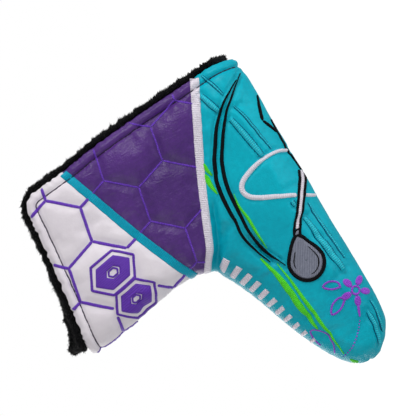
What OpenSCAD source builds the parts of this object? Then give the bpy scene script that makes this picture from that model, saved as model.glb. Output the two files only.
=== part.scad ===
// Padded head cover for a blade putter.
// It stands on its sole fold: x runs from the toe (-) to the heel mouth (+), z runs up to the
// end of the neck, and the show face looks towards -y. The origin is the middle of the sole.

/* [Body] */
// Padded thickness across the two faces, mm
thickness = 40; // [37:1:44]
// Width of the rounded margin along every closed side, mm
edge_round = 16; // [14:1:17]
// Width of the flat strip under the sole fold, mm
sole_strip = 12; // [8:1:13]

/* [Layers] */
// Leather thickness, mm
leather = 1.2; // [1:0.1:1.4]
// Foam padding thickness, mm
padding = 2.8; // [2.4:0.1:3]
// Plush lining thickness, mm
pile = 2.5; // [2:0.1:2.8]
// How far the plush stands out of the mouth, mm
pile_proud = 4.5; // [3:0.5:6]

/* [Trim] */
// Width of the satin bands over the panel joints, mm
band_w = 4; // [3:0.2:5]
// Side of one quilted hexagon, mm
hex_side = 17; // [15:0.5:19]
// Width of the quilting thread, mm
thread_w = 1; // [0.8:0.1:1.4]
// Distance of the hem stitching from the mouth edge, mm
hem = 4; // [3:0.5:5]

/* [Closure] */
// Radius of each closing magnet, mm
magnet_r = 8; // [6:0.5:9]
// Thickness of each closing magnet, mm
magnet_t = 2; // [1.5:0.1:2.2]

/* [Hidden] */
half = thickness / 2;
seam_gap = 0.15;
strip_half = sole_strip / 2;
ply = 0.45;
nudge = 0.001;
a_pad = leather + ply;
a_lin = a_pad + padding + ply;
a_in = a_lin + pile;
sit = 0.12;
raise = 0.7;
cut = 0.3;

// The closed side of the bag: sole fold, toe, top line and inner neck edge, as
// [x, z, half gap between the faces, width of the rounded margin].
toe_round = edge_round * 0.7;
closed_side = [
    [120, 0, strip_half, edge_round], [-40, 0, strip_half, edge_round],
    [-56, 0, strip_half, toe_round], [-64, 1, strip_half * 0.7, toe_round],
    [-70, 3.4, strip_half * 0.4, toe_round], [-75, 7, strip_half * 0.2, toe_round],
    [-78.6, 11.4, 0.4, toe_round], [-80.2, 16, seam_gap, toe_round],
    [-80.2, 20, seam_gap, toe_round], [-78.8, 23.8, seam_gap, toe_round],
    [-75.6, 27.8, seam_gap, toe_round], [-71, 31.5, seam_gap, toe_round],
    [-63.5, 36, seam_gap, toe_round], [-52, 41.4, seam_gap, toe_round],
    [-40.5, 45.8, seam_gap, edge_round], [-29, 49.8, seam_gap, edge_round],
    [-17.5, 54.6, seam_gap, edge_round], [-11.7, 57.6, seam_gap, edge_round],
    [-7.4, 60.8, seam_gap, edge_round], [-4.8, 64.8, seam_gap, edge_round],
    [-3.3, 70, seam_gap, edge_round], [-3, 75, seam_gap, edge_round],
    [-3.7, 84.5, seam_gap, edge_round], [-5.3, 96, seam_gap, edge_round],
    [-7.8, 107.5, seam_gap, edge_round], [-10, 119, seam_gap, edge_round],
    [-11.6, 131, seam_gap, edge_round], [-14, 150, seam_gap, edge_round]];

// Line of the white band, from the heel edge to the inner neck edge.
joint_low = [[79.2, 22.6], [42, 41.4], [25.3, 49], [13.8, 54], [4.9, 58], [-4.6, 64.9]];
// Line of the teal band, from the heel edge to the inner neck edge.
joint_top = [[71.7, 99.6], [47.4, 90.9], [28.5, 84.1], [5.9, 74.7], [-3.2, 70.4]];
// The flaps fold about the straight line from the heel to the end of the neck.
fold_a = [78.2, 26.6];
fold_b = [30, 127];
fold_dir = (fold_b - fold_a) / norm(fold_b - fold_a);
fold_n = [fold_dir[1], -fold_dir[0]];

// ---- points and lines in the plane of the face ----
function flat(p) = [p[0], p[1]];
function unit(v) = v / norm(v);
function mix(a, b, f) = a + (b - a) * f;
function side_near(p, a, b) =
    let (d = flat(b) - flat(a), f = max(0, min(1, ((p - flat(a)) * d) / (d * d))))
    concat(norm(p - mix(flat(a), flat(b), f)), mix(a, b, f));
// Nearest place on the closed side: [distance, x, z, half gap, margin].
function nearest(p) =
    let (all = [for (i = [0:len(closed_side) - 2]) side_near(p, closed_side[i], closed_side[i + 1])],
         low = min([for (c = all) c[0]]))
    [for (c = all) if (c[0] == low) c][0];
// Point of the layer lying a below the outer surface over the plane point p. The margins are
// concentric quarter rounds, so a deeper layer also moves in from the closed side.
function on_bag(p, a, s) =
    let (c = nearest(p), k = max(0, 1 - c[0] / c[4]), q = p + unit(p - [c[1], c[2]]) * a * k)
    [q[0], s * (c[3] + (half - a - c[3]) * sqrt(1 - k * k)), q[1]];

// Length along a polyline, and the point at a fraction f of it.
function run_to(l, i) = i == 0 ? 0 : run_to(l, i - 1) + norm(l[i] - l[i - 1]);
function along(l, f) =
    let (n = len(l) - 1, w = f * run_to(l, n),
         i = max([for (j = [0:n - 1]) if (run_to(l, j) <= w + nudge) j]),
         d = norm(l[i + 1] - l[i]))
    mix(l[i], l[i + 1], min(1, (w - run_to(l, i)) / d));

// Rows across a closed margin: quarter-round spacing, in fractions of the margin.
round_step = 18;
margin_rows = [for (t = [0:round_step:90]) 1 - cos(t)];
function rows_closed(len_mm) =
    let (m = min(edge_round, len_mm * 0.45) / len_mm)
    concat([for (r = margin_rows) r * m], [0.5],
           [for (i = [len(margin_rows) - 1:-1:0]) 1 - margin_rows[i] * m]);
function rows_open(len_mm, n) =
    let (m = min(edge_round, len_mm * 0.6) / len_mm)
    concat([for (r = margin_rows) r * m], [for (i = [1:n]) m + (1 - m) * i / n]);

// ---- solids ----
// Closed solid between two grids of points that have the same rows and columns.
module sheet(outer, inner) {
    nr = len(outer);
    nc = len(outer[0]);
    pts = concat([for (r = outer) for (p = r) p], [for (r = inner) for (p = r) p]);
    m = nr * nc;
    function id(i, j, k) = i * nc + j + k * m;
    faces = concat(
        [for (i = [0:nr - 2]) for (j = [0:nc - 2]) each [
            [id(i, j, 0), id(i, j + 1, 0), id(i + 1, j + 1, 0)],
            [id(i, j, 0), id(i + 1, j + 1, 0), id(i + 1, j, 0)],
            [id(i, j, 1), id(i + 1, j + 1, 1), id(i, j + 1, 1)],
            [id(i, j, 1), id(i + 1, j, 1), id(i + 1, j + 1, 1)]]],
        [for (i = [0:nr - 2]) each [
            [id(i, 0, 0), id(i + 1, 0, 0), id(i + 1, 0, 1)],
            [id(i, 0, 0), id(i + 1, 0, 1), id(i, 0, 1)],
            [id(i + 1, nc - 1, 0), id(i, nc - 1, 0), id(i, nc - 1, 1)],
            [id(i + 1, nc - 1, 0), id(i, nc - 1, 1), id(i + 1, nc - 1, 1)]]],
        [for (j = [0:nc - 2]) each [
            [id(0, j + 1, 0), id(0, j, 0), id(0, j, 1)],
            [id(0, j + 1, 0), id(0, j, 1), id(0, j + 1, 1)],
            [id(nr - 1, j, 0), id(nr - 1, j + 1, 0), id(nr - 1, j + 1, 1)],
            [id(nr - 1, j, 0), id(nr - 1, j + 1, 1), id(nr - 1, j, 1)]]]);
    polyhedron(pts, faces, convexity = 10);
}

// Layer from a0 to a1 below the surface over a plane grid; s = -1 show face, 1 back face.
module face_layer(grid, a0, a1, s) {
    o = [for (r = grid) [for (p = r) on_bag(p, a0, s)]];
    i = [for (r = grid) [for (p = r) on_bag(p, a1, s)]];
    if (s < 0) sheet(i, o);
    else sheet(o, i);
}

// The same layer carried down one face, round the sole fold and up the other.
module folded_layer(cols, a0, a1) {
    function wrap(a) = [for (c = cols)
        concat([for (i = [len(c) - 1:-1:0]) on_bag(c[i], a, -1)], [for (p = c) on_bag(p, a, 1)])];
    sheet(wrap(a0), wrap(a1));
}

// Every grid point moved a hair towards c, so that none lies exactly on the closed side.
function tuck(grid, c) = [for (r = grid) [for (p = r) p + unit(c - p) * nudge]];
// Grid ruled between two matched lines of points, closed side first.
function ruled(l0, l1, closed_both, n) = [for (i = [0:len(l0) - 1])
    let (a = l0[i], b = l1[i], d = norm(b - a))
    [for (f = closed_both ? rows_closed(d) : rows_open(d, n)) mix(a, b, f)]];

// Plane grids. Each pocket column is [point on the sole or toe fold, point on the upper side].
toe_cols = [
    [[-8, 0], [-7.4, 60.8]], [[-13, 0], [-11.7, 57.6]], [[-19, 0], [-17.5, 54.6]],
    [[-30, 0], [-29, 49.8]], [[-41, 0], [-40.5, 45.8]], [[-52, 0], [-52, 41.4]],
    [[-64, 1], [-63.5, 36]], [[-70, 3.4], [-71, 31.5]], [[-75, 7], [-75.6, 27.8]],
    [[-78.6, 11.4], [-78.8, 23.8]], [[-80.2, 16], [-80.2, 20]]];
teal_cols = [
    [[78.4, 0], [79.3, 22.4]], [[68, 0], [68, 28]], [[56, 0], [56, 34.2]], [[44, 0], [44, 40.2]],
    [[32, 0], [32, 45.8]], [[22, 0], [22, 50.2]], [[14, 0], [13.8, 53.8]], [[8, 0], [7.4, 56.7]],
    [[3, 0], [1.8, 59.8]], [[-1, 0], [-1.8, 62.4]], [[-4, 0], [-4.8, 64.6]], each toe_cols];
teal_grid = tuck(ruled([for (c = teal_cols) c[0]], [for (c = teal_cols) c[1]], true, 0), [0, 26]);

// Stations along the two sides of a ruled panel, close together near the closed neck edge.
panel_steps = [0, 0.009, 0.034, 0.072, 0.12, 0.18, 0.34, 0.5, 0.66, 0.82, 0.93, 1];
fold_at_top = [47.8, 90.2];
low_line = [for (f = panel_steps) along([for (i = [len(joint_low) - 1:-1:0]) joint_low[i]], f)];
purple_grid = tuck([for (i = [0:len(panel_steps) - 1])
    let (a = low_line[i] + [0.12, 0.3],
         b = along([[-3.3, 69.6], fold_at_top - [0.9, 0.5], fold_a + [-0.4, -0.1]], panel_steps[i]))
    [for (f = [0:0.2:1]) mix(a, b, f)]], [40, 55]);

neck_steps = [0, 0.2, 0.4, 0.6, 0.8, 1];
white_grid = tuck([for (f = neck_steps)
    let (a = along([[-3.3, 71], [-3, 75], [-3.7, 84.5], [-5.3, 96], [-7.8, 107.5], [-10, 119],
                    [-11.2, 128.6]], f),
         b = mix(fold_at_top + [-1.4, 1.3], fold_b + [-0.2, -0.6], f),
         d = norm(b - a))
    [for (k = rows_open(d, 3)) mix(a, b, k)]], [20, 100]);

flap_steps = [0, 0.25, 0.5, 0.75, 1];
heel_line = [[78.5, 28.6], [77, 57], [75.2, 80], [73, 96.6]];
purple_flap_grid = [for (f = flap_steps)
    let (a = mix(fold_a + [0.12, 0.3], fold_at_top + [0.6, -0.6], f), b = along(heel_line, f))
    [for (k = [0, 0.5, 1]) mix(a, b, k)]];
crown_line = [[72.2, 100.6], [71.4, 112.3], [70.6, 118.4], [68.4, 121.6], [64.6, 123.4],
              [50, 124.6], [30.4, 127.2]];
white_flap_grid = [for (f = [0:0.1:1])
    let (a = mix(fold_at_top + [0.2, 1.2], fold_b + [0.3, 0], f), b = along(crown_line, f))
    [for (k = [0, 0.5, 1]) mix(a, b, k)]];

// The padding stops short of the mouth and the plush runs past it.
pad_in = 2;
function bag_grid(out) = let (cols = concat([[[78.4 + out, 0], [79.3 + out, 22.2]]],
                                            [for (i = [1:len(teal_cols) - 1]) teal_cols[i]]))
    tuck(ruled([for (c = cols) c[0]], [for (c = cols) c[1]], true, 0), [0, 26]);
function neck_grid(out) = let (
    edge = [[-4.4, 65.4], [-3.3, 70], [-3, 75], [-3.7, 84.5], [-5.3, 96], [-7.8, 107.5],
            [-10, 119], [-11.2, 128.6], [-11.2 - out * 0.1, 131 + out]],
    steps = [0, 0.12, 0.22, 0.36, 0.5, 0.64, 0.78, 0.92, 1],
    low = fold_a + [0.2, -1.6], high = fold_b + fold_dir * out - fold_n * 0.2,
    far = [for (f = steps) mix(low, high, f) - fold_n * 0.1])
    tuck(ruled(edge, far, false, 3), [30, 80]);

function flap_grid(out) = [for (f = [0:0.1:1])
    let (start = fold_a + fold_dir * (out < 0 ? 6 : 2) + fold_n * 0.15,
         a = mix(start, fold_b + fold_dir * out + fold_n * 0.15, f),
         b = along([out < 0 ? start + fold_n * 0.8 : [79 + out, 29.4], [77 + out, 57],
                    [75.2 + out, 80], [72.8 + out, 98], [71.4 + out, 113],
                    [69.6 + out, 119.6 + out * 0.7], [64.6 + out * 0.6, 123.6 + out],
                    [50, 124.6 + out], fold_b + fold_dir * out + fold_n * 0.9], f))
    [for (k = [0, 0.5, 1]) mix(a, b, k)]];

// The flaps lie on the flat of the face, so their sheets are plain plates over a ring of points.
function ring_of(grid) = let (n = len(grid) - 1, m = len(grid[0]) - 1)
    concat([for (i = [0:n]) grid[i][0]], [for (i = [n:-1:0]) grid[i][m]]);
module plate(grid, depth, t, s) {
    translate([0, s > 0 ? half - depth : depth + t - half, 0])
        rotate([90, 0, 0]) linear_extrude(height = t) polygon(ring_of(grid));
}

// ---- threads, bands and stitched shapes ----
// Strip of width w along a plane polyline, lying on the outer surface.
module strip(l, w, s) {
    n = len(l) - 1;
    function off(i) =
        let (d = unit(l[min(n, i + 1)] - l[max(0, i - 1)])) [d[1], -d[0]];
    function wide(i) = is_list(w) ? w[i] : w;
    grid = [for (i = [0:n]) [l[i] - off(i) * wide(i) / 2, l[i] + off(i) * wide(i) / 2]];
    face_layer(grid, -raise, -sit, s);
}

// The part of the line a-b inside a convex outline walked counter-clockwise, as [f0, f1].
function clip_range(a, b, outline) =
    let (n = len(outline), d = b - a,
         c = [for (i = [0:n - 1])
              let (e = outline[(i + 1) % n] - outline[i], m = [-e[1], e[0]])
              [m * d, m * (a - outline[i])]])
    [max(concat([0], [for (k = c) if (k[0] > nudge) -k[1] / k[0]])),
     min(concat([1], [for (k = c) if (k[0] < -nudge) -k[1] / k[0]],
                [for (k = c) if (abs(k[0]) <= nudge && k[1] < 0) -1]))];

// Quilting: every side of a hexagon lattice, trimmed to the outline.
hex_origin = [47.8, 71.9];
hex_turn = 48.5;
function ray(t) = [cos(t), sin(t)];
hex_u = hex_side * (ray(hex_turn) - ray(hex_turn + 120));
hex_v = hex_side * (ray(hex_turn) - ray(hex_turn + 240));
// Gap left at each crossing, and the shortest run of thread kept, as shares of a side.
crossing_gap = 0.05;
shortest_run = 0.12;
module quilt(outline, s) {
    for (i = [-6:6], j = [-6:6], k = [0:2]) {
        a = hex_origin + i * hex_u + j * hex_v;
        b = a + hex_side * ray(hex_turn + 120 * k);
        r = clip_range(a, b, outline);
        f0 = max(r[0], crossing_gap);
        f1 = min(r[1], 1 - crossing_gap);
        if (f1 - f0 > shortest_run)
            strip([for (f = [0:0.25:1]) mix(a, b, mix(f0, f1, f))], thread_w, s);
    }
}
purple_field = [[-1.6, 66], [13.8, 56.8], [76.6, 25.6], [46.8, 88.6]];
white_field = [[-1.2, 73.4], [45.4, 92.8], [29, 124.6], [-8.4, 128.2]];
purple_flap_field = [[78, 30.6], [76.4, 57], [71.8, 96], [49, 88.6]];
white_flap_field = [[48.6, 93.4], [71.2, 102], [70.8, 117], [64.8, 121.6], [50, 123], [32.4, 125]];

// A closed stitched shape with a ring of points and a middle, lying on the surface.
inner_ring = 0.55;
module patch_shape(ring, mid, s) {
    m = len(ring);
    function at(f, a) = [for (p = ring) on_bag(mix(mid, p, f), a, s)];
    pts = concat([on_bag(mid, -raise, s), on_bag(mid, -sit, s)],
                 [for (a = [-raise, -sit]) for (f = [inner_ring, 1]) each at(f, a)]);
    function id(i, j, k) = 2 + i * m + (j % m) + k * 2 * m;
    raw = [for (j = [0:m - 1]) each [
        [0, id(0, j, 0), id(0, j + 1, 0)], [1, id(0, j + 1, 1), id(0, j, 1)],
        [id(0, j, 0), id(1, j, 0), id(1, j + 1, 0)],
        [id(0, j, 0), id(1, j + 1, 0), id(0, j + 1, 0)],
        [id(0, j, 1), id(1, j + 1, 1), id(1, j, 1)],
        [id(0, j, 1), id(0, j + 1, 1), id(1, j + 1, 1)],
        [id(1, j, 0), id(1, j, 1), id(1, j + 1, 1)],
        [id(1, j, 0), id(1, j + 1, 1), id(1, j + 1, 0)]]];
    polyhedron(pts, s < 0 ? [for (f = raw) [f[2], f[1], f[0]]] : raw, convexity = 6);
}

purple = [0.33, 0.2, 0.5];
white = [0.86, 0.84, 0.87];
teal = [0.03, 0.68, 0.75];
teal_satin = [0.02, 0.55, 0.68];
black = [0.05, 0.05, 0.06];
violet = [0.42, 0.27, 0.62];
foam = [0.9, 0.88, 0.8];

module teal_shell() { color(teal) folded_layer(teal_grid, 0, leather); }
module padding_bag() { color(foam) folded_layer(bag_grid(-pad_in), a_pad, a_pad + padding); }
module plush_bag() { color(black) folded_layer(bag_grid(pile_proud), a_lin, a_in); }
module neck_padding(s) { color(foam) face_layer(neck_grid(-pad_in), a_pad, a_pad + padding, s); }
module neck_plush(s) { color(black) face_layer(neck_grid(pile_proud), a_lin, a_in, s); }

// Panels of the neck. s = -1 is the show face, 1 the back face.
module purple_panel(s) { color(purple) face_layer(purple_grid, leather, 0, s); }
module white_panel(s) { color(white) face_layer(white_grid, 0, leather, s); }
module flap_purple(s) { color(purple) plate(purple_flap_grid, 0, leather, s); }
module flap_white(s) { color(white) plate(white_flap_grid, 0, leather, s); }

// Satin bands lie over the two panel joints, on top of the leather.
function trimmed(l, f0, f1, n) = [for (i = [0:n]) along(l, mix(f0, f1, i / n))];
module white_band(s) { color(white) strip(trimmed(joint_low, 0.004, 0.985, 14), band_w, s); }
module teal_band(s) {
    color(teal_satin) strip(trimmed([fold_at_top - [2, 0.7], joint_top[2], joint_top[3],
                                     joint_top[4] + [0.6, 0.2]], 0, 1, 8), band_w, s);
}
module flap_band(s) {
    color(teal_satin) strip(trimmed([fold_at_top + [2, 0.7], joint_top[0]], 0, 1, 3), band_w, s);
}
module pocket_quilting(s) {
    color(violet) {
        quilt(purple_field, s);
        quilt(white_field, s);
    }
}
module flap_quilting(s) {
    color(violet) {
        quilt(purple_flap_field, s);
        quilt(white_flap_field, s);
    }
}

// Hem stitching runs just inside the mouth.
module hem_run(l, n, s) { color(black) strip(trimmed(l, 0, 1, n), thread_w, s); }
module hem_thread() {
    for (s = [-1, 1]) {
        hem_run([[78.6 - hem, 9], [79 - hem, 19.6]], 3, s);
        hem_run([fold_b + [-3, -hem], [14, 129 - hem], [-2, 131 - hem]], 5, s);
    }
}
module flap_hem(s) {
    hem_run([[76.9 - hem, 46], [75.2 - hem, 80], [73.6 - hem, 93], [71.6 - hem, 105.6],
             [71.2 - hem, 114], [69 - hem, 118.2], [64 - hem / 2, 123 - hem],
             [50, 124.4 - hem], [36, 126.2 - hem]], 18, s);
}

// Mouth flaps: padding with a round seat for the magnet, and the plush lining.
magnet_at = [58, 104];
a_magnet = a_pad + (padding - magnet_t) / 2;
module at_magnet(depth, s) {
    translate([magnet_at[0], s * (half - depth), magnet_at[1]]) rotate([s * 90, 0, 0]) children();
}
module flap_padding(s) {
    color(foam) difference() {
        plate(flap_grid(-pad_in), a_pad, padding, s);
        at_magnet(a_pad - 1, s) cylinder(r = magnet_r + cut, h = padding + 2, $fn = 64);
    }
}
module flap_plush(s) { color(black) plate(flap_grid(pile_proud), a_lin, pile, s); }
module magnet(s) {
    color("silver") at_magnet(a_magnet, s) cylinder(r = magnet_r, h = magnet_t, $fn = 64);
}

// ---- embroidery on the show face ----
// Widths that start thin, swell and run out to a point.
function taper(n, w, tip = 0.25) = [for (i = [0:n]) w * (tip + (1 - tip) * sin(180 * i / n))];
module blade(l, n, w) { strip(trimmed(l, 0, 1, n), taper(n, w), -1); }

module front_sweeps() {
    color(black) {
        blade([[67, 14], [56, 22.4], [42.8, 31.4], [30, 37], [20, 38.6], [8, 37.6], [-4, 35.6],
               [-15, 33.4]], 12, 1.6);
        blade([[69, 8.6], [59, 16], [48.4, 24], [38.5, 30], [27.9, 34], [16, 35.4], [4, 34.4],
               [-9, 30.6], [-20, 27.4]], 12, 1.6);
    }
}
module front_loop() {
    color(white) strip(trimmed([[29, 8], [30.4, 14], [29.6, 22], [26.6, 27.4], [22, 28.6],
                                [17, 25], [11.6, 17.2], [7.6, 10.4], [3.4, 3.4]], 0, 1, 14),
                       taper(14, 2.2, 0.4), -1);
}
module front_blades() {
    color([0.25, 0.75, 0.25]) {
        blade([[42, 41.4 - band_w], [34.6, 40.6 - band_w]], 3, 1.6);
        blade([[20, 42.4], [8, 42], [-3, 41]], 5, 1.6);
        blade([[-11, 39], [-24, 38.4], [-38, 37], [-52, 33.6]], 7, 3.4);
        blade([[-37, 33.4], [-50, 31.4], [-60, 29.2], [-71, 25.8]], 6, 1.8);
    }
}
club_mid = [-22.6, 20.8];
module front_club_head() {
    color([0.45, 0.47, 0.53])
        patch_shape([for (t = [0:24:335]) club_mid
                     + [(10.6 + (cos(t) > 0 ? 3.4 * pow(cos(t), 3) : 0)) * cos(t),
                        8.2 * sin(t)]], club_mid, -1);
}
module front_club_shaft() {
    color(white) strip(trimmed([[13, 3.6], [7, 7.4], [-1, 13.2], [-7.8, 17.6]], 0, 1, 5), 1.7, -1);
}
sprig_mid = [-47, 8.4];
module front_sprig() {
    color(violet) {
        for (t = [20:72:330])
            patch_shape([for (b = [0:60:300]) sprig_mid + 4.4 * ray(t) + 2.6 * cos(b) * ray(t)
                         + 1.5 * sin(b) * ray(t + 90)], sprig_mid + 4.4 * ray(t), -1);
        for (d = [[-57.6, 10.6], [-62, 14.2], [-66, 18.6], [-69, 23.2]])
            patch_shape([for (b = [0:60:300]) d + 0.8 * ray(b)], d, -1);
    }
}
module front_teal_stripes() {
    color(teal_satin) {
        blade([[76, 17.6], [64, 13.6]], 3, 1);
        blade([[72, 21.6], [60.6, 18.4]], 3, 2.2);
        blade([[58, 11.6], [33.6, 6.6]], 4, 1);
        blade([[53, 15.4], [35, 10.4]], 4, 2.6);
        blade([[-2, 6.6], [-28, 5.6]], 4, 1);
        blade([[-5, 9.6], [-31, 8.4]], 4, 2.8);
    }
}
// Plain satin bars follow the top line, shrinking towards the toe.
bar_count = 11;
module front_edge_bars() {
    color(white) for (i = [0:bar_count - 1]) {
        f = i / (bar_count - 1);
        c = along([[-9, 54], [-17.5, 49.6], [-29, 45.4], [-40.5, 41.6], [-52, 37.6]], f);
        w = mix(5, 2.4, f);
        strip([c + [0.8, 1.8 - f], c - [0.8, 1.8 - f]], w * 0.55, -1);
    }
}
// Long hexagon badges stand side by side, their flat sides facing.
badge_turn = 10.6;
module badge(mid, across, tall) {
    color(purple) patch_shape([for (t = [30:60:330]) mid + across * cos(t) * ray(badge_turn)
                               + tall * sin(t) * ray(badge_turn + 90)], mid, -1);
}
module front_badge_upper() { badge([19.2, 103], 9.2, 12.4); }
module front_badge_lower() { badge([3, 100], 8.6, 11.6); }

module front_purple_panel() { purple_panel(-1); }
module rear_purple_panel() { purple_panel(1); }
module front_white_panel() { white_panel(-1); }
module rear_white_panel() { white_panel(1); }
module front_neck_padding() { neck_padding(-1); }
module rear_neck_padding() { neck_padding(1); }
module front_neck_plush() { neck_plush(-1); }
module rear_neck_plush() { neck_plush(1); }
module front_white_band() { white_band(-1); }
module rear_white_band() { white_band(1); }
module front_teal_band() { teal_band(-1); }
module rear_teal_band() { teal_band(1); }
module front_quilting() { pocket_quilting(-1); }
module rear_quilting() { pocket_quilting(1); }
module front_flap_purple() { flap_purple(-1); }
module rear_flap_purple() { flap_purple(1); }
module front_flap_white() { flap_white(-1); }
module rear_flap_white() { flap_white(1); }
module front_flap_band() { flap_band(-1); }
module rear_flap_band() { flap_band(1); }
module front_flap_quilting() { flap_quilting(-1); }
module rear_flap_quilting() { flap_quilting(1); }
module front_flap_hem() { flap_hem(-1); }
module rear_flap_hem() { flap_hem(1); }
module front_flap_padding() { flap_padding(-1); }
module rear_flap_padding() { flap_padding(1); }
module front_flap_plush() { flap_plush(-1); }
module rear_flap_plush() { flap_plush(1); }
module front_flap_magnet() { magnet(-1); }
module rear_flap_magnet() { magnet(1); }

teal_shell();
front_purple_panel();
rear_purple_panel();
front_white_panel();
rear_white_panel();
padding_bag();
plush_bag();
front_neck_padding();
rear_neck_padding();
front_neck_plush();
rear_neck_plush();
front_white_band();
rear_white_band();
front_teal_band();
rear_teal_band();
front_quilting();
rear_quilting();
hem_thread();
front_sweeps();
front_loop();
front_blades();
front_club_head();
front_club_shaft();
front_sprig();
front_teal_stripes();
front_edge_bars();
front_badge_upper();
front_badge_lower();
front_flap_purple();
front_flap_white();
front_flap_band();
front_flap_quilting();
front_flap_hem();
front_flap_padding();
front_flap_plush();
front_flap_magnet();
rear_flap_purple();
rear_flap_white();
rear_flap_band();
rear_flap_quilting();
rear_flap_hem();
rear_flap_padding();
rear_flap_plush();
rear_flap_magnet();
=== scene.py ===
import math
import bpy
import numpy as np
from mathutils import Matrix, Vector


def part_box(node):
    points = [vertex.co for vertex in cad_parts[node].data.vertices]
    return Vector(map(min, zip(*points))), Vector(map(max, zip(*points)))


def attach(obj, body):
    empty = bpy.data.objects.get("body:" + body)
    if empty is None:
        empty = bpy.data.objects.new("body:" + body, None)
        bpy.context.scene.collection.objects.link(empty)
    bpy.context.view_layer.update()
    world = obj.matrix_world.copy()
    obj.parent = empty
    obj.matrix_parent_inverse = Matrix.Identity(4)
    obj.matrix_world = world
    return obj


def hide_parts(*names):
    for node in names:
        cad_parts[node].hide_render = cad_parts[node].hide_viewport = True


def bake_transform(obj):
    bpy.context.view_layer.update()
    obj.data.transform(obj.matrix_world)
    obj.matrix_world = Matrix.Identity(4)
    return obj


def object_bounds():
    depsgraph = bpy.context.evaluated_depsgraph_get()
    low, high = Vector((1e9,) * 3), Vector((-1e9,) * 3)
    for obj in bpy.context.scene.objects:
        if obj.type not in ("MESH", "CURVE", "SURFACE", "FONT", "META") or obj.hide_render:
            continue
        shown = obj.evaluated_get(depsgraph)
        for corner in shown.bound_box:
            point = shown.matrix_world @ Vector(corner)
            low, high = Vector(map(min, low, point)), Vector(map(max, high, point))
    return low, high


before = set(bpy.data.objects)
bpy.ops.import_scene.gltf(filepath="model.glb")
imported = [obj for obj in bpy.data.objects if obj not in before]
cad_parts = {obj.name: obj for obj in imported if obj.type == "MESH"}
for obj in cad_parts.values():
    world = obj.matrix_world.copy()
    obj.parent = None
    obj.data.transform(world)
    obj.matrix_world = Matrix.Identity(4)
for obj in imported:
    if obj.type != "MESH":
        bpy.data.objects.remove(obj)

# Padded putter head cover: teal pocket, purple and white quilted neck, black plush lining.
# Everything is worked out in the plane of the face, in millimetres as (x, z), then laid on the
# padded surface by bag(). s = -1 is the show face, s = 1 the back face.
CAD_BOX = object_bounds()
scene = bpy.context.scene
MM = 0.001
SHELL_LO, SHELL_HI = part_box("teal_shell")
HALF = SHELL_HI.y / MM
TOE_X = -80.2
HEEL_X = 79.4
SHIFT = np.array([SHELL_LO.x / MM - TOE_X, SHELL_LO.z / MM])
FACE_NAME = {-1: "front", 1: "rear"}

# Depths below the leather's outer surface, and how far the plush stands out of the mouth.
LEATHER = 1.2
PAD_TOP = 1.5
PAD_LOW = 4.2
PLUSH_TOP = 4.6
PLUSH_LOW = 8.0
PROUD = 1.9
SUNK = 0.25
SOLE_HALF = 5.2


# ---------------------------------------------------------------- lines in the plane of the face
def pts(*p):
    return np.array(p, float) + SHIFT


def unit(v):
    return v / np.linalg.norm(v, axis=-1)[..., None]


def right_of(t):
    """The direction to the right-hand side of t."""
    return np.stack([t[..., 1], -t[..., 0]], -1)


def arc(line):
    return np.concatenate([[0], np.cumsum(np.linalg.norm(np.diff(line, axis=0), axis=1))])


def along(line, f):
    """Points at the fractions f of the length of a polyline."""
    s = arc(line)
    at = np.asarray(f, float) * s[-1]
    return np.stack([np.interp(at, s, line[:, k]) for k in range(line.shape[1])], -1)


def even(line, step):
    n = max(3, int(round(arc(line)[-1] / step)) + 1)
    return along(line, np.linspace(0, 1, n))


def smooth(line, step=1.0):
    """Catmull-Rom curve through the points, sampled evenly."""
    p = np.vstack([2 * line[0] - line[1], line, 2 * line[-1] - line[-2]])
    t = np.linspace(0, 1, 12, endpoint=False)[:, None]
    out = []
    for i in range(1, len(p) - 2):
        a, b, c, d = p[i - 1], p[i], p[i + 1], p[i + 2]
        out.append(0.5 * (2 * b + (c - a) * t + (2 * a - 5 * b + 4 * c - d) * t ** 2
                          + (3 * b - a - 3 * c + d) * t ** 3))
    return even(np.vstack(out + [line[-1:]]), step)


def near_line(p, line):
    """Distance to a polyline, fraction of its length there, and the nearest point.
    On a long line only the stretch round the nearest of every eighth point is searched."""
    flat = p.reshape(-1, 2)
    a = line[:-1]
    d = line[1:] - a
    dd = np.maximum((d ** 2).sum(1), 1e-12)
    s = arc(line)
    dist, at, where = np.empty(len(flat)), np.empty(len(flat)), np.empty((len(flat), 2))
    for i in range(0, len(flat), 8000):
        q = flat[i:i + 8000]
        if len(a) > 40:
            first = ((q[:, None] - line[::8]) ** 2).sum(2).argmin(1) * 8
            ids = np.clip(first[:, None] + np.arange(-9, 9), 0, len(a) - 1)
        else:
            ids = np.broadcast_to(np.arange(len(a)), (len(q), len(a)))
        t = np.clip(((q[:, None] - a[ids]) * d[ids]).sum(2) / dd[ids], 0, 1)
        c = a[ids] + t[..., None] * d[ids]
        far = ((q[:, None] - c) ** 2).sum(2)
        k = far.argmin(1)
        r = np.arange(len(q))
        seg = ids[r, k]
        dist[i:i + 8000] = np.sqrt(far[r, k])
        where[i:i + 8000] = c[r, k]
        at[i:i + 8000] = (s[seg] + t[r, k] * np.sqrt(dd[seg])) / s[-1]
    shape = p.shape[:-1]
    return dist.reshape(shape), at.reshape(shape), where.reshape(shape + (2,))


def part_of(line, a, b):
    """The stretch of a polyline between the places nearest to a and b."""
    fa, fb = near_line(np.array([a, b], float), line)[1]
    n = max(3, int(abs(fb - fa) * arc(line)[-1] / 0.5))
    return along(line, np.linspace(fa, fb, n))


def offset(line, w):
    """The line moved w to its right-hand side; w may vary along it."""
    return line + right_of(unit(np.gradient(line, axis=0))) * np.reshape(w, (-1, 1))


def inward(line, f):
    """Unit normal into the face at the fractions f of an evenly sampled edge line."""
    side = right_of(np.gradient(line, axis=0))
    at = f * (len(line) - 1)
    return unit(np.stack([np.interp(at, np.arange(len(line)), m) for m in side.T], -1))


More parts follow.
